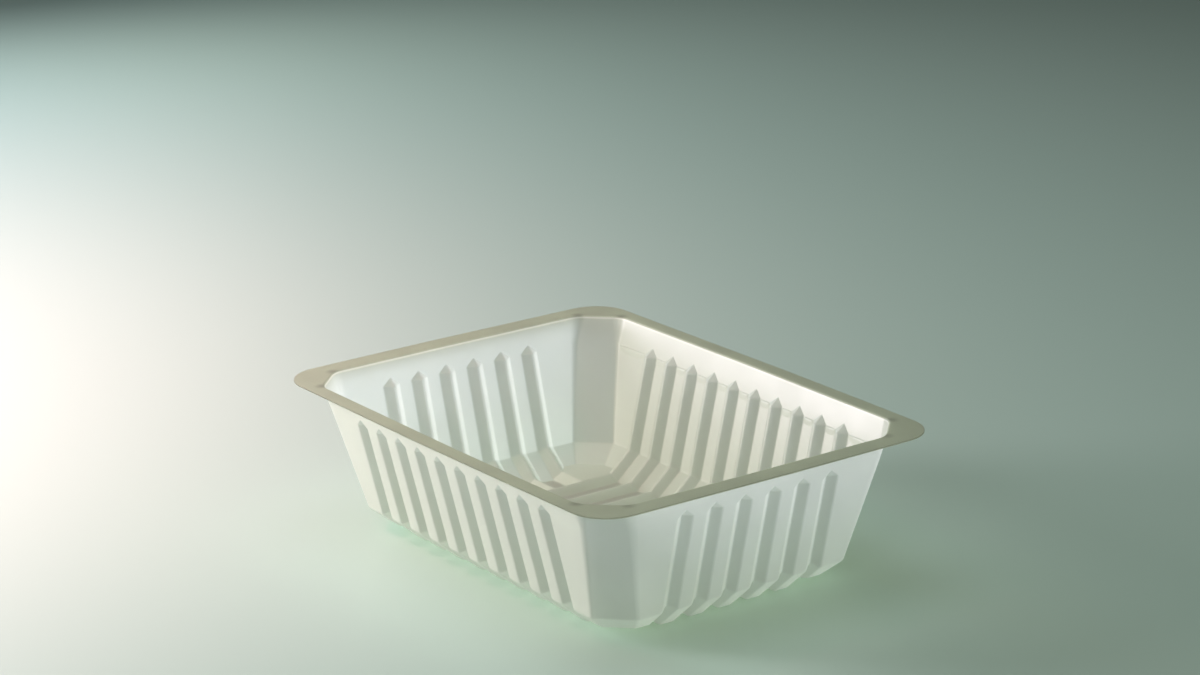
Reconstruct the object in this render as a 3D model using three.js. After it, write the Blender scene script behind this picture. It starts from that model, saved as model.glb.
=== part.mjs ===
/*
 * Sealable food tray, formed from one sheet of frosted polypropylene.
 *
 * One skin makes the whole part: a flat sealing flange, a short upright band, tapered
 * walls with pointed V ribs, a sloping heel and a ribbed floor. The ribs stand proud on
 * the inside and are grooves on the outside. They run down the walls, over the heel and
 * across the floor. The four corners are flat facets.
 *
 * Millimetres, +Z up, +X along the long side. The floor panels stand on z = 0.
 */
import * as THREE from 'three';
import { mergeVertices } from 'three/addons/utils/BufferGeometryUtils.js';

// ---- driving dimensions -------------------------------------------------------------

const LENGTH = 187;            // over the flange, at the middle of the short sides
const WIDTH = 138;             // over the flange, at the middle of the long sides
const HEIGHT = 52;             // floor panels to the top of the flange
const SHEET = 0.5;             // wall thickness after forming

const BOW_LONG = 1.0;          // how far a long side swells from its ends to its middle
const BOW_SHORT = 0.75;        // the same for a short side
const FLANGE_CORNER_RADIUS = 13;

const RIB_DEPTH = 2.6;         // how far a rib stands out of its panel
const RIB_HALF_WIDTH = 3.15;   // half its width where it meets the panel
const LONG_RIBS = 10;          // ribs along each long wall, and across the floor
const LONG_PITCH = 11.75;
const SHORT_RIBS = 6;          // ribs along each short wall
const SHORT_PITCH = 11.6;

// Stations down the outside of a wall, from the flange to the floor. An inset is measured
// from the edge of the flange. A facet leg is what a corner facet cuts off each wall. Where
// a facet meets a wall, the turn starts the given distance before the corner between them.
const STATIONS = {
  brow: { z: HEIGHT - SHEET, long: 5.4, short: 7.4, leg: 11.2, turn: 3.4 },
  tip: { z: 45.2, long: 7.3, short: 8.3, leg: 11.1, turn: 2.2 },
  shoulder: { z: 42.6, long: 8.2, short: 8.7, leg: 11.0, turn: 1.8 },
  heel: { z: 8.6, long: 16.5, short: 17.5, leg: 10.1, turn: 1.0 },
  foot: { z: 0, long: 26.6, short: 27.3, leg: 7.1, turn: 0.7 },
};

const ARC_STEPS = 9;           // segments in a flange corner
const TURN_STEPS = 4;          // segments where a facet meets a wall
const EDGE_STEPS = 14;         // segments in a flange side, for its bow
const FORMED_COLOUR = 0xcfd4cf;

const HALF_LENGTH = LENGTH / 2;
const HALF_WIDTH = WIDTH / 2;

// ---- the four walls -----------------------------------------------------------------

/** Evenly spaced rib centres about the middle of a wall. */
function ribCentres(count, pitch) {
  const centres = [];
  for (let i = 0; i < count; i += 1) {
    centres.push((i - (count - 1) / 2) * pitch);
  }
  return centres;
}

/** A point on a long wall. side is -1 or +1, along runs anticlockwise seen from above. */
function onLongWall(side, along, inset, z) {
  const x = -side * along;
  const edge = HALF_WIDTH - BOW_LONG * (x / HALF_LENGTH) ** 2;
  return new THREE.Vector3(x, side * (edge - inset), z);
}

/** A point on a short wall, in the same way. */
function onShortWall(side, along, inset, z) {
  const y = side * along;
  const edge = HALF_LENGTH - BOW_SHORT * (y / HALF_WIDTH) ** 2;
  return new THREE.Vector3(side * (edge - inset), y, z);
}

const LONG = {
  key: 'long',
  ribs: ribCentres(LONG_RIBS, LONG_PITCH),
  endReach: (inset, leg) => HALF_LENGTH - BOW_SHORT - inset - leg,
  crossKey: 'short',
};
const SHORT = {
  key: 'short',
  ribs: ribCentres(SHORT_RIBS, SHORT_PITCH),
  endReach: (inset, leg) => HALF_WIDTH - BOW_LONG - inset - leg,
  crossKey: 'long',
};

// Anticlockwise from the wall at -Y.
const WALLS = [
  { ...LONG, at: (along, inset, z) => onLongWall(-1, along, inset, z) },
  { ...SHORT, at: (along, inset, z) => onShortWall(1, along, inset, z) },
  { ...LONG, at: (along, inset, z) => onLongWall(1, along, inset, z) },
  { ...SHORT, at: (along, inset, z) => onShortWall(-1, along, inset, z) },
];

// ---- the profile of a rib's crest ---------------------------------------------------

/** Where the heel slope of a wall has come down to height z. */
function heelInset(key, z) {
  const { heel, foot } = STATIONS;
  return THREE.MathUtils.mapLinear(z, heel.z, foot.z, heel[key], foot[key]);
}

/**
 * The crest keeps the rib depth, square to the wall, the heel and the floor. Each corner
 * of its profile lies where two such offset lines meet.
 */
function crestProfile(key) {
  const { shoulder, heel, foot } = STATIONS;
  const wallAngle = Math.atan2(heel[key] - shoulder[key], shoulder.z - heel.z);
  const heelAngle = Math.atan2(foot[key] - heel[key], heel.z - foot.z);
  const atShoulder = {
    inset: shoulder[key] + RIB_DEPTH / Math.cos(wallAngle),
    z: shoulder.z,
  };
  const halfTurn = (heelAngle - wallAngle) / 2;
  const bisector = wallAngle + halfTurn;
  const reach = RIB_DEPTH / Math.cos(halfTurn);
  const atHeel = {
    inset: heel[key] + reach * Math.cos(bisector),
    z: heel.z + reach * Math.sin(bisector),
  };
  const fall = atHeel.z - RIB_DEPTH;
  const atFoot = { inset: atHeel.inset + fall * Math.tan(heelAngle), z: RIB_DEPTH };
  return { shoulder: atShoulder, heel: atHeel, foot: atFoot };
}

const CREST = { long: crestProfile('long'), short: crestProfile('short') };

/** Inset and height of a rib's crest at a station. Down to its tip a rib has no crest. */
function crestAt(key, name) {
  return CREST[key][name] ?? plainAt(key, name, false);
}

/**
 * Inset and height of the plain wall at a station. In the corners of the floor the wall
 * ends level with the rib crests.
 */
function plainAt(key, name, inCorner) {
  if (name === 'foot' && inCorner) {
    return { inset: heelInset(key, RIB_DEPTH), z: RIB_DEPTH };
  }
  return { inset: STATIONS[name][key], z: STATIONS[name].z };
}

/** The points of one wall at a station: its two ends, and three for each rib. */
function wallPoints(wall, name) {
  const corner = plainAt(wall.key, name, true);
  const crossInset = plainAt(wall.crossKey, name, true).inset;
  const reach = wall.endReach(crossInset, STATIONS[name].leg);
  const points = [wall.at(-reach, corner.inset, corner.z)];
  wall.ribs.forEach((centre, i) => {
    const before = plainAt(wall.key, name, i === 0);
    const after = plainAt(wall.key, name, i === wall.ribs.length - 1);
    const crest = crestAt(wall.key, name);
    points.push(wall.at(centre - RIB_HALF_WIDTH, before.inset, before.z));
    points.push(wall.at(centre, crest.inset, crest.z));
    points.push(wall.at(centre + RIB_HALF_WIDTH, after.inset, after.z));
  });
  points.push(wall.at(reach, corner.inset, corner.z));
  return points;
}

/** A curve in place of a corner, from a distance before it to the same distance after it. */
function softTurn(before, corner, after, distance) {
  const towards = (point) => corner.clone().add(
    point.clone().sub(corner).setLength(distance),
  );
  const curve = new THREE.QuadraticBezierCurve3(towards(before), corner, towards(after));
  return curve.getPoints(TURN_STEPS);
}

/** The closed loop of points round the tray at a station. */
function ring(name) {
  const { turn } = STATIONS[name];
  const walls = WALLS.map((wall) => wallPoints(wall, name));
  return walls.flatMap((points, i) => {
    const earlier = walls.at(i - 1);
    const later = walls[(i + 1) % walls.length];
    return [
      ...softTurn(earlier.at(-1), points[0], points[1], turn),
      ...points.slice(1, -1),
      ...softTurn(points.at(-2), points.at(-1), later[0], turn),
    ];
  });
}

/** Where the crests of each wall's ribs come in a ring. */
function crestPlaces() {
  const turnPoints = TURN_STEPS + 1;
  let start = 0;
  return WALLS.map((wall) => {
    const first = start + turnPoints + 1;
    start += 2 * turnPoints + 3 * wall.ribs.length;
    return wall.ribs.map((_, i) => first + 3 * i);
  });
}

const CREST_PLACES = crestPlaces();

// ---- the outside skin ---------------------------------------------------------------

const skin = [];               // triangles, three points each, facing out of the tray

/**
 * Adds a flat convex face as a fan from its first point, turned so that it faces the given
 * way.
 */
function addFace(points, facing) {
  const normal = new THREE.Triangle(points[0], points[1], points[2])
    .getNormal(new THREE.Vector3());
  const [first, ...others] = points;
  const loop = normal.dot(facing) < 0 ? [first, ...others.reverse()] : points;
  for (let i = 1; i < loop.length - 1; i += 1) {
    skin.push([loop[0], loop[i], loop[i + 1]]);
  }
}

/**
 * Joins two rings of the wall. A quad folds along one diagonal just after a crest, and along
 * the other elsewhere, so that both sides of a rib's tip are alike.
 */
function joinRings(upper, lower) {
  const crests = new Set(CREST_PLACES.flat());
  upper.forEach((_, i) => {
    const j = (i + 1) % upper.length;
    if (crests.has(i)) {
      skin.push([upper[i], lower[i], lower[j]], [upper[i], lower[j], upper[j]]);
    } else {
      skin.push([upper[i], lower[i], upper[j]], [upper[j], lower[i], lower[j]]);
    }
  });
}

function addWalls() {
  const rings = Object.keys(STATIONS).map(ring);
  for (let i = 0; i < rings.length - 1; i += 1) {
    joinRings(rings[i], rings[i + 1]);
  }
}

/** The outline of the flange: bowed sides and round corners. */
function flangeOutline() {
  const radius = FLANGE_CORNER_RADIUS;
  const z = HEIGHT - SHEET;
  const points = [];
  for (const wall of WALLS) {
    const reach = wall.endReach(0, radius);
    for (let i = 0; i <= EDGE_STEPS; i += 1) {
      points.push(wall.at(THREE.MathUtils.lerp(-reach, reach, i / EDGE_STEPS), 0, z));
    }
  }
  const outline = [];
  const perWall = EDGE_STEPS + 1;
  WALLS.forEach((wall, side) => {
    outline.push(...points.slice(side * perWall, (side + 1) * perWall));
    const from = points[(side + 1) * perWall - 1];
    const to = points[((side + 1) * perWall) % points.length];
    outline.push(...cornerArc(from, to, side));
  });
  return outline;
}

/** Points strictly between the ends of a quarter turn that leaves wall number side. */
function cornerArc(from, to, side) {
  const isLong = side % 2 === 0;
  const centre = isLong
    ? new THREE.Vector3(from.x, to.y, from.z)
    : new THREE.Vector3(to.x, from.y, from.z);
  const points = [];
  for (let i = 1; i < ARC_STEPS; i += 1) {
    const turn = (i / ARC_STEPS) * (Math.PI / 2);
    const leaving = from.clone().sub(centre).multiplyScalar(Math.cos(turn));
    const arriving = to.clone().sub(centre).multiplyScalar(Math.sin(turn));
    points.push(centre.clone().add(leaving).add(arriving));
  }
  return points;
}

function addFlange() {
  const outline = flangeOutline();
  const opening = ring('brow');
  const corners = [...outline, ...opening];
  const triangles = THREE.ShapeUtils.triangulateShape(outline, [opening]);
  for (const triangle of triangles) {
    addFace(triangle.map((i) => corners[i]), new THREE.Vector3(0, 0, -1));
  }
}

// ---- the floor ----------------------------------------------------------------------

const DOWN = new THREE.Vector3(0, 0, -1);
const [SOUTH, EAST, NORTH, WEST] = WALLS;

/** Foot of the long wall at -Y or +Y, at the given x. */
function longFoot(wall, x, profile) {
  return wall.at(wall === SOUTH ? x : -x, profile.inset, profile.z);
}

/** Foot of the short wall at -X or +X, at the given y. */
function shortFoot(wall, y, profile) {
  return wall.at(wall === EAST ? y : -y, profile.inset, profile.z);
}

/** The middle of the floor: ribs from long wall to long wall, with panels between. */
function addCrossRibs() {
  const panel = plainAt('long', 'foot', false);
  LONG.ribs.slice(0, -1).forEach((x, i) => {
    const next = LONG.ribs[i + 1];
    const [rightSouth, rightNorth] = acrossFloor(x + RIB_HALF_WIDTH, panel);
    const [leftSouth, leftNorth] = acrossFloor(next - RIB_HALF_WIDTH, panel);
    addFace([rightNorth, rightSouth, ...crestLine(x)], DOWN);
    addFace([rightSouth, rightNorth, leftNorth, leftSouth], DOWN);
    addFace([leftNorth, leftSouth, ...crestLine(next)], DOWN);
  });
}

/** The ends of a line across the floor, from the long wall at -Y to the one at +Y. */
function acrossFloor(x, profile) {
  return [longFoot(SOUTH, x, profile), longFoot(NORTH, x, profile)];
}

/** The crest of a cross rib. The outermost ones have a point for each stub they meet. */
function crestLine(x) {
  const [south, north] = acrossFloor(x, CREST.long.foot);
  const outermost = Math.abs(x) === Math.max(...LONG.ribs);
  const stubs = outermost ? SHORT.ribs.map((y) => new THREE.Vector3(x, y, RIB_DEPTH)) : [];
  return [south, ...stubs, north];
}

/** The floor beside a short wall: stubs that run from it to the outermost cross rib. */
function addStubs(wall) {
  const side = wall === EAST ? 1 : -1;
  const ribX = side * Math.max(...LONG.ribs);
  const flankX = ribX + side * RIB_HALF_WIDTH;
  const panel = plainAt('short', 'foot', false);
  const crest = CREST.short.foot;
  const junction = (y) => new THREE.Vector3(ribX, y, RIB_DEPTH);
  const valley = (y) => new THREE.Vector3(flankX, y, 0);
  SHORT.ribs.slice(0, -1).forEach((y, i) => {
    const next = SHORT.ribs[i + 1];
    const low = y + RIB_HALF_WIDTH;
    const high = next - RIB_HALF_WIDTH;
    const lowFoot = shortFoot(wall, low, panel);
    const highFoot = shortFoot(wall, high, panel);
    addFace([shortFoot(wall, y, crest), junction(y), valley(low), lowFoot], DOWN);
    addFace([lowFoot, valley(low), valley(high), highFoot], DOWN);
    addFace([highFoot, valley(high), junction(next), shortFoot(wall, next, crest)], DOWN);
    addFace([junction(y), junction(next), valley(high), valley(low)], DOWN);
  });
}

/** A corner of the floor, level with the rib crests, after the wall with that number. */
function addFloorCorner(number) {
  const foot = ring('foot');
  const first = CREST_PLACES[number].at(-1);
  const next = CREST_PLACES[(number + 1) % WALLS.length][0];
  const edge = first < next
    ? foot.slice(first, next + 1)
    : [...foot.slice(first), ...foot.slice(0, next + 1)];
  const xSide = Math.sign(edge[0].x);
  const ySide = Math.sign(edge[0].y);
  const junction = new THREE.Vector3(
    xSide * Math.max(...LONG.ribs),
    ySide * Math.max(...SHORT.ribs),
    RIB_DEPTH,
  );
  addFace([junction, ...edge], DOWN);
}

function addFloor() {
  addCrossRibs();
  addStubs(EAST);
  addStubs(WEST);
  WALLS.forEach((_, number) => addFloorCorner(number));
}

// ---- sheet thickness ----------------------------------------------------------------

/** One geometry with shared points from a list of triangles. */
function geometryOf(triangles) {
  const geometry = new THREE.BufferGeometry().setFromPoints(triangles.flat());
  return mergeVertices(geometry, 1e-4);
}

/** The directions of the distinct planes that meet at each point. */
function planesAtPoints(position, index) {
  const planes = Array.from({ length: position.count }, () => []);
  const triangle = new THREE.Triangle();
  for (let i = 0; i < index.count; i += 3) {
    const corners = [0, 1, 2].map((k) => index.getX(i + k));
    triangle.setFromAttributeAndIndices(position, ...corners);
    const normal = triangle.getNormal(new THREE.Vector3());
    for (const corner of corners) {
      if (planes[corner].every((known) => known.dot(normal) < 0.9999)) {
        planes[corner].push(normal);
      }
    }
  }
  return planes;
}

/**
 * The move that takes a point a sheet's thickness behind every plane that meets there, in
 * the least-squares sense. A trace of damping keeps flat places and straight folds solvable.
 */
function inwardMove(planes) {
  const damping = 1e-6;
  const matrix = new THREE.Matrix3().set(damping, 0, 0, 0, damping, 0, 0, 0, damping);
  const sum = new THREE.Vector3();
  for (const { x, y, z } of planes) {
    const products = [x * x, x * y, x * z, x * y, y * y, y * z, x * z, y * z, z * z];
    products.forEach((product, i) => {
      matrix.elements[i] += product;
    });
    sum.add(new THREE.Vector3(x, y, z));
  }
  return sum.applyMatrix3(matrix.invert()).multiplyScalar(-SHEET);
}

/** Edges that only one triangle uses, each in that triangle's direction. */
function openEdges(index) {
  const edges = new Map();
  for (let i = 0; i < index.count; i += 3) {
    for (let k = 0; k < 3; k += 1) {
      const from = index.getX(i + k);
      const to = index.getX(i + ((k + 1) % 3));
      const back = `${to},${from}`;
      if (edges.has(back)) {
        edges.delete(back);
      } else {
        edges.set(`${from},${to}`, [from, to]);
      }
    }
  }
  return [...edges.values()];
}

/** Closes the outside skin with an inside skin and the edge of the flange. */
function thicken(outside) {
  const { position } = outside.attributes;
  const { index } = outside;
  const planes = planesAtPoints(position, index);
  const outer = [];
  const inner = [];
  for (let i = 0; i < position.count; i += 1) {
    const point = new THREE.Vector3().fromBufferAttribute(position, i);
    outer.push(point);
    inner.push(point.clone().add(inwardMove(planes[i])));
  }
  const triangles = [];
  for (let i = 0; i < index.count; i += 3) {
    const [a, b, c] = [0, 1, 2].map((k) => index.getX(i + k));
    triangles.push([outer[a], outer[b], outer[c]], [inner[a], inner[c], inner[b]]);
  }
  for (const [from, to] of openEdges(index)) {
    triangles.push([outer[to], outer[from], inner[from]]);
    triangles.push([outer[to], inner[from], inner[to]]);
  }
  return geometryOf(triangles);
}

// ---- assembly -----------------------------------------------------------------------

addWalls();
addFlange();
addFloor();

const material = new THREE.MeshStandardMaterial({
  color: FORMED_COLOUR, roughness: 0.35, metalness: 0,
});
const tray = new THREE.Mesh(thicken(geometryOf(skin)), material);
tray.name = 'tray';

const group = new THREE.Group();
group.name = 'sealable_tray';
group.add(tray);

export default group;
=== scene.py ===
"""Sealable food tray of frosted polypropylene, on a plain pale floor.

The CAD tray gives the skin. Here its folds are rounded, the sheet gets its thickness back,
and the plastic gets its frosted, light-passing finish.
"""

import math

import bmesh
import bpy
from mathutils import Matrix, Vector


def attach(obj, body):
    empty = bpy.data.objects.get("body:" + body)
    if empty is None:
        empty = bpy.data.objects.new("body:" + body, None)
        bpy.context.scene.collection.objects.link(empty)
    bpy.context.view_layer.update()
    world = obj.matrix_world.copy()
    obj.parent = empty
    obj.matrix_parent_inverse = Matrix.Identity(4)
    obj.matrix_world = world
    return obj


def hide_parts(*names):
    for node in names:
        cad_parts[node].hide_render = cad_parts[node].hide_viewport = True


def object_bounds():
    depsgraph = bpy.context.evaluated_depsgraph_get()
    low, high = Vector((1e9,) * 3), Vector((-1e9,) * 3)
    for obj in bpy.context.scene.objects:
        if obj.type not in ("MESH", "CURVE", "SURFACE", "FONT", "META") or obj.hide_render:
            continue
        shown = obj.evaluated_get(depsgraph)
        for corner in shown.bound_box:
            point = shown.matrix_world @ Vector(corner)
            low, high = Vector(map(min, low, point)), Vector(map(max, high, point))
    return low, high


MM = 0.001

# ---- sheet and folds ------------------------------------------------------------------
SHEET = 0.5 * MM               # thickness of the formed sheet
WELD = 0.01 * MM               # corners of the CAD mesh closer than this are one
FLAT_FOLD = math.radians(0.6)  # folds flatter than this are left out of the skin
SHARP_FOLD = math.radians(16)  # folds flatter than this stay as they are
FOLD_ROUND = 0.55 * MM         # how far from a sharper fold its rounding starts
TIGHT_SHARE = 0.5              # the share of that at the rim and the tips of the ribs
RIB_TIPS = 9.3 * MM            # the ribs' tips end within this depth under the rim
FOLD_STEPS = 3                 # faces across a rounded fold

# ---- creases inside the long walls -----------------------------------------------------
CREASE_Z = 42.6 * MM           # their height
CREASE_LEVEL = 0.05 * MM       # how near that height the ends of a fold have to lie
CREASE_LEAST = 3 * MM          # the shortest piece of fold that gets a crease
CREASE_STRAY = 0.1             # the most that it strays from the wall, as a share of its run
CREASE_STEP = 0.25 * MM        # how far a crease stands in from the wall above it
CREASE_SUNK = 0.02 * MM        # how far its foot lies in the wall
# across a crease: how far down the wall, and the share of the step
CREASE_PROFILE = ((-0.15 * MM, 0), (0.10 * MM, 1), (0.6 * MM, 0.9), (2.4 * MM, 0))
# along a crease: how far along it, and how full it is there
CREASE_ROWS = ((0, 0.05), (0.08, 0.7), (0.25, 1), (0.75, 1), (0.92, 0.7), (1, 0.05))

# ---- colours, as linear light --------------------------------------------------------
# a face colour is for the light that the sheet throws back, a glow for what it lets through
WALL_FACE = (0.70, 0.71, 0.62, 1)
# the foot's glow is darker than the band's: painted shade on the lower walls
SHADED_FOOT_GLOW = (0.73, 0.80, 0.77, 1)
BAND_GLOW = (0.77, 0.82, 0.82, 1)
# the flange's darker colours are painted shade on its flat top
SHADED_FLANGE_FACE = (0.62, 0.65, 0.52, 1)
SHADED_FLANGE_GLOW = (0.64, 0.68, 0.57, 1)
# a painted highlight on the flange's cut edge and fold
EDGE_HIGHLIGHT_FACE = (0.90, 0.90, 0.84, 1)
EDGE_HIGHLIGHT_GLOW = (0.95, 0.96, 0.92, 1)
ONWARD = (0.66, 0.67, 0.62, 1)  # the light that goes straight on to what lies behind
THROUGH_SHARE = 0.50            # the share of the light that the sheet scatters onward
FLOOR_COLOUR = (0.482, 0.63, 0.532, 1)
FLOOR_ROUGHNESS = 0.6

# ---- where each painted shade and highlight begins --------------------------------------
THIN_AND_SHADED_UP_TO = 8 * MM            # the walls' glow is darkest up to this height, where the sheet is drawn thinnest: painted shade on the lower walls
THICK_AND_UNSHADED_FROM = 46 * MM           # and lightest from here up, where it is hardly drawn at all
FLANGE_FADE = (1.3 * MM, 0.6 * MM)   # depths where the flange's painted shade begins and is full
UPRIGHT = (0.75, 0.35)         # the same for the painted highlight on the cut edge and fold, by how far its face points up

# ---- texture: sizes in cells a metre, and strengths --------------------------------------
NOISE_SPREAD = (0.3, 0.7)      # noise mostly lies between these
HAZE_SCALE = 90
HAZE_DETAIL = 2
ROUGHNESS = (0.28, 0.32)
CLOUD_SCALE = 55
CLOUD_DETAIL = 3
CLOUD_DEPTH = 0.04
GRAIN_SCALE = 2600
GRAIN_DETAIL = 2
GRAIN_DEPTH = 0.03 * MM
GRAIN_STRENGTH = 0.25
LINE_SCALE = 2500
PATCH_DETAIL = 2               # the lines come and go in patches as large as the clouds
STREAK_SPREAD = (0.15, 0.4)    # lines times patches mostly lie between these
LINE_DEPTH = 0.03

# ---- painted shade on the flange where the corner facets' folds end, as seen in one quarter -----
SHADE_SPOTS = ((74.3 * MM, 63.0 * MM, 0), (85.6 * MM, 51.6 * MM, 0))
SHADE_SPOT_REACH = 3.2 * MM
# how dark the painted shade is at the middle of each spot
SHADE_SPOT_TONE = 0.75

# ---- camera: degrees, metres, and millimetres for the lens and the sensor -------------
CAMERA_AZIMUTH = 54.48         # from -Y toward +X
CAMERA_ELEVATION = 17.43
CAMERA_ROLL = -1.21
CAMERA_DISTANCE = 1.1773       # from the middle of the rim
CAMERA_RISE = 0.02163          # how far it then moves up
CAMERA_DRIFT = 0.00027         # and to the left
LENS = 106.4
SENSOR_WIDTH = 36
CLOSEST, FARTHEST = 0.05, 50

# ---- lamps, by bearing and height in degrees, distance and size in metres --------------
TRAY_MIDDLE = Vector((0, 0, 0.02))
LAMPS = {
    "window": dict(
        side=225, height=7, distance=0.9, size=0.25, watts=7.0, colour=(1.0, 0.90, 0.97)
    ),
    "window_high": dict(
        side=225, height=24, distance=0.9, size=0.25, watts=3.2, colour=(1.0, 0.96, 0.97)
    ),
    "window_end": dict(
        side=168, height=20, distance=0.9, size=0.3, watts=0.9, colour=(1.0, 0.92, 0.85)
    ),
    "window_far": dict(
        side=185, height=19, distance=0.9, size=0.3, watts=1.2, colour=(0.3, 0.6, 1.0)
    ),
    "near": dict(
        side=265, height=22, distance=0.55, size=0.2, watts=0.25, colour=(0.85, 0.95, 1.0)
    ),
    "front": dict(
        side=305, height=24, distance=0.9, size=0.3, watts=0.75, colour=(1.0, 0.92, 0.92)
    ),
    "above": dict(
        side=225, height=88, distance=0.9, size=0.6, watts=2.6, colour=(0.97, 1.0, 0.97)
    ),
}
FLOOR_LAMP = dict(
    place=Vector((-0.42, -0.55, 0.9)), target=Vector((-0.44, -0.36, 0)),
    cone=62, softness=0.2, watts=90, colour=(1.0, 0.50, 0.57),
)
SKY_COLOUR = (0.5, 1.0, 0.7, 1)
SKY_STRENGTH = 0.01
FLOOR_SIZE = 12
DIFFUSE_BOUNCES = 8            # light is thrown about inside the tray many times
ALL_BOUNCES = 14

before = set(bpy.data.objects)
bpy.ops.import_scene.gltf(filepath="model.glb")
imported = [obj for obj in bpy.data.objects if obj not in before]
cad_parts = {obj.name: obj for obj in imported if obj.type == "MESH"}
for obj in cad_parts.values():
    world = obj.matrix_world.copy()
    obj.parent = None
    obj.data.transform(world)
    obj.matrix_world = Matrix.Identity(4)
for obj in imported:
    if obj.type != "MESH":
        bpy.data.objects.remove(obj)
cad_low, cad_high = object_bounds()
TOP = cad_high.z


# ---- camera -------------------------------------------------------------------------
def aim_camera():
    """The photograph's viewpoint, from the corner between the +X and -Y walls."""
    azimuth, elevation, roll = map(
        math.radians, (CAMERA_AZIMUTH, CAMERA_ELEVATION, CAMERA_ROLL)
    )
    back = Vector((
        math.sin(azimuth) * math.cos(elevation),
        -math.cos(azimuth) * math.cos(elevation),
        math.sin(elevation),
    ))
    level_right = Vector((math.cos(azimuth), math.sin(azimuth), 0))
    level_up = back.cross(level_right)
    right = math.cos(roll) * level_right + math.sin(roll) * level_up
    up = -math.sin(roll) * level_right + math.cos(roll) * level_up
    place = Vector((0, 0, TOP)) + CAMERA_DISTANCE * back + CAMERA_RISE * up - CAMERA_DRIFT * right

    data = bpy.data.cameras.new("camera")
    data.lens = LENS
    data.sensor_width = SENSOR_WIDTH
    data.clip_start = CLOSEST
    data.clip_end = FARTHEST
    camera = bpy.data.objects.new("camera", data)
    turn = Matrix((right, up, back)).transposed().to_4x4()
    camera.matrix_world = Matrix.Translation(place) @ turn
    bpy.context.scene.collection.objects.link(camera)
    bpy.context.scene.camera = camera


# ---- tray mesh ----------------------------------------------------------------------
def outside_skin(solid):
    """The outside face of the CAD sheet, as a mesh without thickness."""
    skin = bmesh.new()
    skin.from_mesh(solid.data)
    bmesh.ops.remove_doubles(skin, verts=skin.verts, dist=WELD)
    bmesh.ops.delete(skin, geom=list(filter(is_cut_edge, skin.faces)), context="FACES")
    inside = grow_from(max(skin.verts, key=lambda vert: vert.co.z))
    bmesh.ops.delete(skin, geom=list(inside), context="VERTS")
    bmesh.ops.dissolve_limit(
        skin, angle_limit=FLAT_FOLD, verts=skin.verts, edges=skin.edges
    )
    return skin


def is_cut_edge(face):
    """Whether a face of the CAD sheet is part of the flange's cut edge."""
    heights = [vert.co.z for vert in face.verts]
    through_sheet = min(heights) < TOP - SHEET / 2 < max(heights)
    return through_sheet and min(heights) > TOP - 1.5 * SHEET


def grow_from(start):
    """All the vertices joined to one."""
    found, waiting = {start}, [start]
    while waiting:
        for edge in waiting.pop().link_edges:
            for vert in edge.verts:
                if vert not in found:
                    found.add(vert)
                    waiting.append(vert)
    return found


def weigh_folds(skin):
    """Marks the folds to be rounded: fully, or less at the rim and the tips of the ribs."""
    weight = skin.edges.layers.float.new("bevel_weight_edge")
    for edge in skin.edges:
        if len(edge.link_faces) == 2 and edge.calc_face_angle(0) > SHARP_FOLD:
            high = min(vert.co.z for vert in edge.verts) > TOP - RIB_TIPS - SHEET
            edge[weight] = TIGHT_SHARE if high else 1


def wall_turns(skin):
    """Where the long walls turn steeper between the ribs: a start, a run and the way out."""
    for edge in skin.edges:
        start, end = sorted((vert.co for vert in edge.verts), key=lambda place: place.x)
        run = end - start
        level = max(abs(start.z - CREASE_Z), abs(end.z - CREASE_Z)) < CREASE_LEVEL
        if level and run.x >= CREASE_LEAST and abs(run.y) <= CREASE_STRAY * run.x:
            outward = sum((face.normal for face in edge.link_faces), Vector()).normalized()
            if outward.y * start.y < 0:
                outward.negate()
            yield start, run, outward


def wall_creases(skin):
    """Low creases inside the long walls: a sharp step in, which fades down the wall."""
    creases = bmesh.new()
    for start, run, outward in wall_turns(skin):
        down = outward.cross(run.normalized())
        if down.z > 0:
            down.negate()
        rows = []
        for share, fullness in CREASE_ROWS:
            middle = start + share * run - (SHEET - CREASE_SUNK) * outward
            rows.append([
                creases.verts.new(
                    middle + lower * fullness * down
                    - depth * (CREASE_STEP * fullness + CREASE_SUNK) * outward
                )
                for lower, depth in CREASE_PROFILE
            ])
        for row, following in zip(rows, rows[1:]):
            for corner in range(len(CREASE_PROFILE) - 1):
                creases.faces.new(
                    (row[corner], row[corner + 1], following[corner + 1], following[corner])
                )
    bmesh.ops.recalc_face_normals(creases, faces=creases.faces)
    return creases


def make_piece(name, shape, material):
    """A smooth piece of a shape and a material, which rides on the tray's body."""
    mesh = bpy.data.meshes.new(name)
    shape.to_mesh(mesh)
    shape.free()
    mesh.materials.append(material)
    for face in mesh.polygons:
        face.use_smooth = True
    piece = bpy.data.objects.new(name, mesh)
    bpy.context.scene.collection.objects.link(piece)
    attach(piece, "root")
    return piece


def make_tray(material):
    """The CAD sheet with its folds rounded, and the creases inside its long walls."""
    skin = outside_skin(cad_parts["tray"])
    make_piece("wall_creases", wall_creases(skin), material)
    weigh_folds(skin)
    tray = make_piece("formed_tray", skin, material)
    rounding = tray.modifiers.new("rounding", "BEVEL")
    rounding.limit_method = "WEIGHT"
    rounding.offset_type = "OFFSET"
    rounding.width = FOLD_ROUND
    rounding.segments = FOLD_STEPS
    rounding.use_clamp_overlap = False
    rounding.loop_slide = True
    sheet = tray.modifiers.new("sheet", "SOLIDIFY")
    sheet.thickness = SHEET
    sheet.offset = -1
    sheet.use_even_offset = True
    shading = tray.modifiers.new("shading", "WEIGHTED_NORMAL")
    shading.mode = "FACE_AREA_WITH_ANGLE"
    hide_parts("tray")


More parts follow.
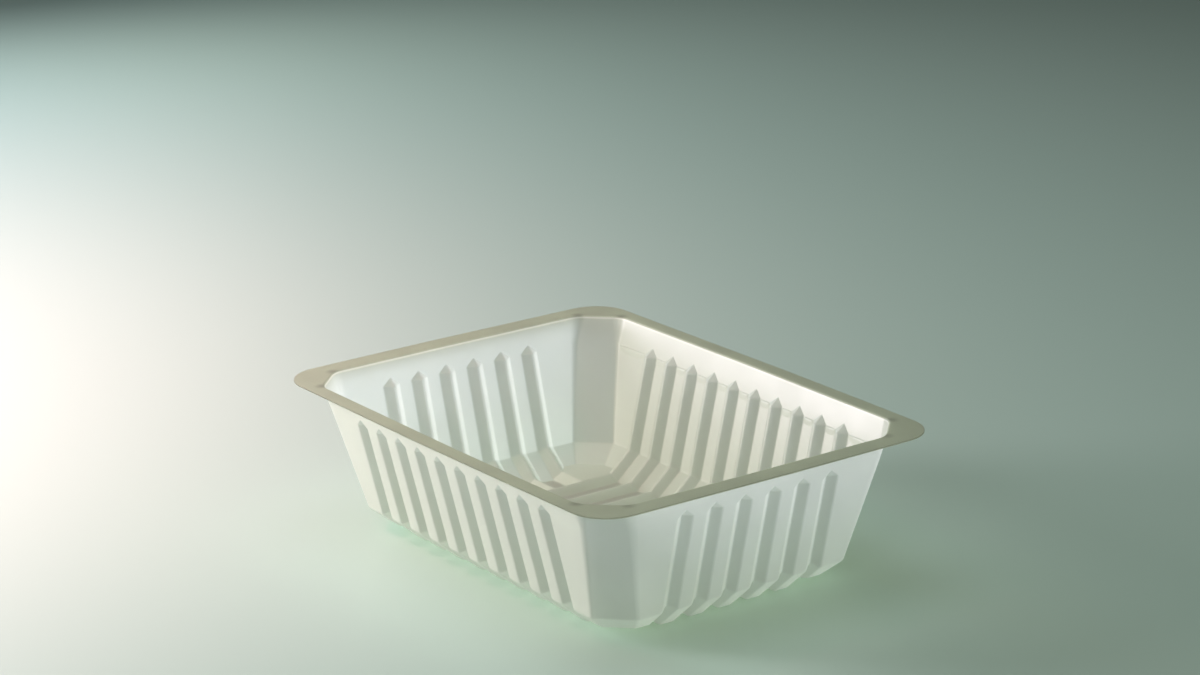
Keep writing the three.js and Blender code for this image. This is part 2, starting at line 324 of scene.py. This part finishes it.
# ---- materials ----------------------------------------------------------------------
class Finish:
    """A new material, with a short method for each kind of node that it is built from."""

    def __init__(self, name):
        self.material = bpy.data.materials.new(name)
        self.material.use_nodes = True
        self.nodes = self.material.node_tree.nodes
        self.links = self.material.node_tree.links

    def add(self, kind):
        return self.nodes.new("ShaderNode" + kind)

    def feed(self, value, socket):
        """Gives a socket another node's result, or a fixed number or colour."""
        if isinstance(value, bpy.types.NodeSocket):
            self.links.new(value, socket)
        else:
            socket.default_value = value

    def split(self, vector):
        """The X, Y and Z of a vector."""
        axes = self.add("SeparateXYZ")
        self.feed(vector, axes.inputs[0])
        return axes.outputs

    def noise(self, place, scale, detail):
        texture = self.add("TexNoise")
        texture.inputs["Scale"].default_value = scale
        texture.inputs["Detail"].default_value = detail
        self.feed(place, texture.inputs["Vector"])
        return texture.outputs["Fac"]

    def calculate(self, operation, *values):
        """One step of arithmetic."""
        step = self.add("Math")
        step.operation = operation
        for value, socket in zip(values, step.inputs):
            self.feed(value, socket)
        return step.outputs[0]

    def ramp(self, value, start, end, low=0.0, high=1.0):
        """A smooth change from low to high while a value goes from a start to an end."""
        share = self.add("MapRange")
        share.interpolation_type = "SMOOTHSTEP"
        self.feed(value, share.inputs["Value"])
        share.inputs["From Min"].default_value = start
        share.inputs["From Max"].default_value = end
        share.inputs["To Min"].default_value = low
        share.inputs["To Max"].default_value = high
        return share.outputs["Result"]

    def scaled(self, colour, tone):
        """A colour made darker or lighter by a tone."""
        mix = self.add("Mix")
        mix.data_type = "RGBA"
        mix.blend_type = "MULTIPLY"
        mix.inputs["Factor"].default_value = 1
        self.feed(colour, mix.inputs["A"])
        self.feed(tone, mix.inputs["B"])
        return mix.outputs["Result"]

    def blend(self, share, start, end):
        """A colour that goes from one to another by a share."""
        mix = self.add("Mix")
        mix.data_type = "RGBA"
        self.feed(start, mix.inputs["A"])
        self.feed(end, mix.inputs["B"])
        self.feed(share, mix.inputs["Factor"])
        return mix.outputs["Result"]

    def mix(self, share, first, second):
        """A shader that goes from one to another by a share."""
        both = self.add("MixShader")
        self.feed(share, both.inputs[0])
        self.feed(first.outputs[0], both.inputs[1])
        self.feed(second.outputs[0], both.inputs[2])
        return both


def frosted_plastic():
    """Frosted sheet: it reflects and passes light softly, and lamps shine on through it."""
    finish = Finish("frosted_sheet")
    place = finish.add("TexCoord").outputs["Object"]
    axes = finish.split(place)
    fade_start, fade_end = FLANGE_FADE
    on_flange = finish.ramp(axes["Z"], TOP - fade_start, TOP - fade_end)
    # edge: where the painted highlight goes; on_flange: where the flange's painted shade goes
    edge = cut_edge(finish, on_flange)
    # painted shade at the facets' ends, times faint lines along the flange
    shade_and_lines_tone = flange_shade_and_lines(finish, axes, place)

    surface = finish.nodes["Principled BSDF"]
    # the flange's colours are painted shade, and its cut edge and fold get a painted highlight
    face = finish.blend(on_flange, WALL_FACE, finish.scaled(SHADED_FLANGE_FACE, shade_and_lines_tone))
    finish.feed(finish.blend(edge, face, EDGE_HIGHLIGHT_FACE), surface.inputs["Base Color"])
    haze = finish.noise(place, HAZE_SCALE, HAZE_DETAIL)
    finish.feed(finish.ramp(haze, *NOISE_SPREAD, *ROUGHNESS), surface.inputs["Roughness"])
    finish.feed(fine_grain(finish, place), surface.inputs["Normal"])

    # the glow darkens towards the foot of the walls: painted shade
    wall_shade_ramp = finish.ramp(axes["Z"], THIN_AND_SHADED_UP_TO, THICK_AND_UNSHADED_FROM)
    shaded_wall_glow = finish.blend(wall_shade_ramp, SHADED_FOOT_GLOW, BAND_GLOW)
    glow = finish.blend(on_flange, shaded_wall_glow, finish.scaled(SHADED_FLANGE_GLOW, shade_and_lines_tone))
    glow = finish.blend(edge, glow, EDGE_HIGHLIGHT_GLOW)
    cloud = finish.noise(place, CLOUD_SCALE, CLOUD_DETAIL)
    cloudy = finish.ramp(cloud, *NOISE_SPREAD, 1 - CLOUD_DEPTH, 1)
    through = finish.add("BsdfTranslucent")
    finish.feed(finish.scaled(glow, cloudy), through.inputs["Color"])

    onward = finish.add("BsdfTransparent")
    onward.inputs["Color"].default_value = ONWARD
    for_shadows = finish.add("LightPath").outputs["Is Shadow Ray"]
    whole = finish.mix(for_shadows, finish.mix(THROUGH_SHARE, surface, through), onward)
    finish.feed(whole.outputs[0], finish.nodes["Material Output"].inputs["Surface"])
    return finish.material


def fine_grain(finish, place):
    """The frosting's fine grain, as a bump."""
    grain = finish.add("Bump")
    grain.inputs["Strength"].default_value = GRAIN_STRENGTH
    grain.inputs["Distance"].default_value = GRAIN_DEPTH
    finish.feed(finish.noise(place, GRAIN_SCALE, GRAIN_DETAIL), grain.inputs["Height"])
    return grain.outputs["Normal"]


def flange_shade_and_lines(finish, axes, place):
    """How bright the flange is: painted shade at the facets' ends, and faint lines along its run.
    """
    across = finish.calculate("ABSOLUTE", axes["X"])
    along = finish.calculate("ABSOLUTE", axes["Y"])
    folded = finish.add("CombineXYZ")
    finish.feed(across, folded.inputs["X"])
    finish.feed(along, folded.inputs["Y"])
    tone = 1.0
    for spot in SHADE_SPOTS:
        gap = finish.add("VectorMath")
        gap.operation = "DISTANCE"
        finish.feed(folded.outputs[0], gap.inputs[0])
        finish.feed(spot, gap.inputs[1])
        shade = finish.ramp(gap.outputs["Value"], 0, SHADE_SPOT_REACH, SHADE_SPOT_TONE, 1)
        tone = finish.calculate("MULTIPLY", tone, shade)
    from_edge = finish.calculate(
        "MAXIMUM",
        finish.calculate("SUBTRACT", across, cad_high.x),
        finish.calculate("SUBTRACT", along, cad_high.y),
    )
    lines = finish.add("TexNoise")
    lines.noise_dimensions = "1D"
    lines.inputs["Scale"].default_value = LINE_SCALE
    finish.feed(from_edge, lines.inputs["W"])
    patches = finish.noise(place, CLOUD_SCALE, PATCH_DETAIL)
    streak = finish.calculate("MULTIPLY", lines.outputs["Fac"], patches)
    lined = finish.ramp(streak, *STREAK_SPREAD, 1 - LINE_DEPTH, 1 + LINE_DEPTH)
    return finish.calculate("MULTIPLY", tone, lined)


def cut_edge(finish, on_flange):
    """1 on the flange's cut edge and its fold, where a highlight is painted, and 0 elsewhere."""
    normal = finish.split(finish.add("NewGeometry").outputs["Normal"])
    level = finish.calculate("ABSOLUTE", normal["Z"])
    return finish.calculate("MULTIPLY", finish.ramp(level, *UPRIGHT), on_flange)


# ---- floor and light ----------------------------------------------------------------
def make_floor():
    bpy.ops.mesh.primitive_plane_add(size=FLOOR_SIZE, location=(0, 0, 0))
    floor = bpy.context.object
    floor.name = "floor"
    finish = Finish("pale_floor")
    surface = finish.nodes["Principled BSDF"]
    surface.inputs["Base Color"].default_value = FLOOR_COLOUR
    surface.inputs["Roughness"].default_value = FLOOR_ROUGHNESS
    floor.data.materials.append(finish.material)


def make_lights():
    """A low window on the left, seen through the sheet, and soft lamps that fill the rest."""
    world = bpy.data.worlds.new("world")
    bpy.context.scene.world = world
    world.use_nodes = True
    sky = world.node_tree.nodes["Background"]
    sky.inputs["Color"].default_value = SKY_COLOUR
    sky.inputs["Strength"].default_value = SKY_STRENGTH
    for name, lamp in LAMPS.items():
        add_lamp(name, **lamp)
    add_floor_lamp("floor_left", **FLOOR_LAMP)


def add_lamp(name, side, height, distance, size, watts, colour):
    """A soft square lamp that looks at the tray."""
    data = bpy.data.lights.new(name, "AREA")
    data.size = size
    data.energy = watts
    data.color = colour
    side, height = math.radians(side), math.radians(height)
    towards = Vector((
        math.cos(side) * math.cos(height), math.sin(side) * math.cos(height), math.sin(height)
    ))
    place_lamp(data, TRAY_MIDDLE + distance * towards, towards)


def add_floor_lamp(name, place, target, cone, softness, watts, colour):
    """A soft cone of light on the floor beside the tray."""
    data = bpy.data.lights.new(name, "SPOT")
    data.spot_size = math.radians(cone)
    data.spot_blend = 1
    data.shadow_soft_size = softness
    data.energy = watts
    data.color = colour
    place_lamp(data, place, place - target)


def place_lamp(data, place, backwards):
    """Puts a lamp at its place, turned so that its back points the way given."""
    lamp = bpy.data.objects.new(data.name, data)
    lamp.location = place
    lamp.rotation_mode = "QUATERNION"
    lamp.rotation_quaternion = backwards.to_track_quat("Z", "Y")
    bpy.context.scene.collection.objects.link(lamp)


aim_camera()
make_tray(frosted_plastic())
make_floor()
make_lights()
scene = bpy.context.scene
scene.view_settings.view_transform = "Standard"
scene.cycles.diffuse_bounces = DIFFUSE_BOUNCES
scene.cycles.max_bounces = ALL_BOUNCES
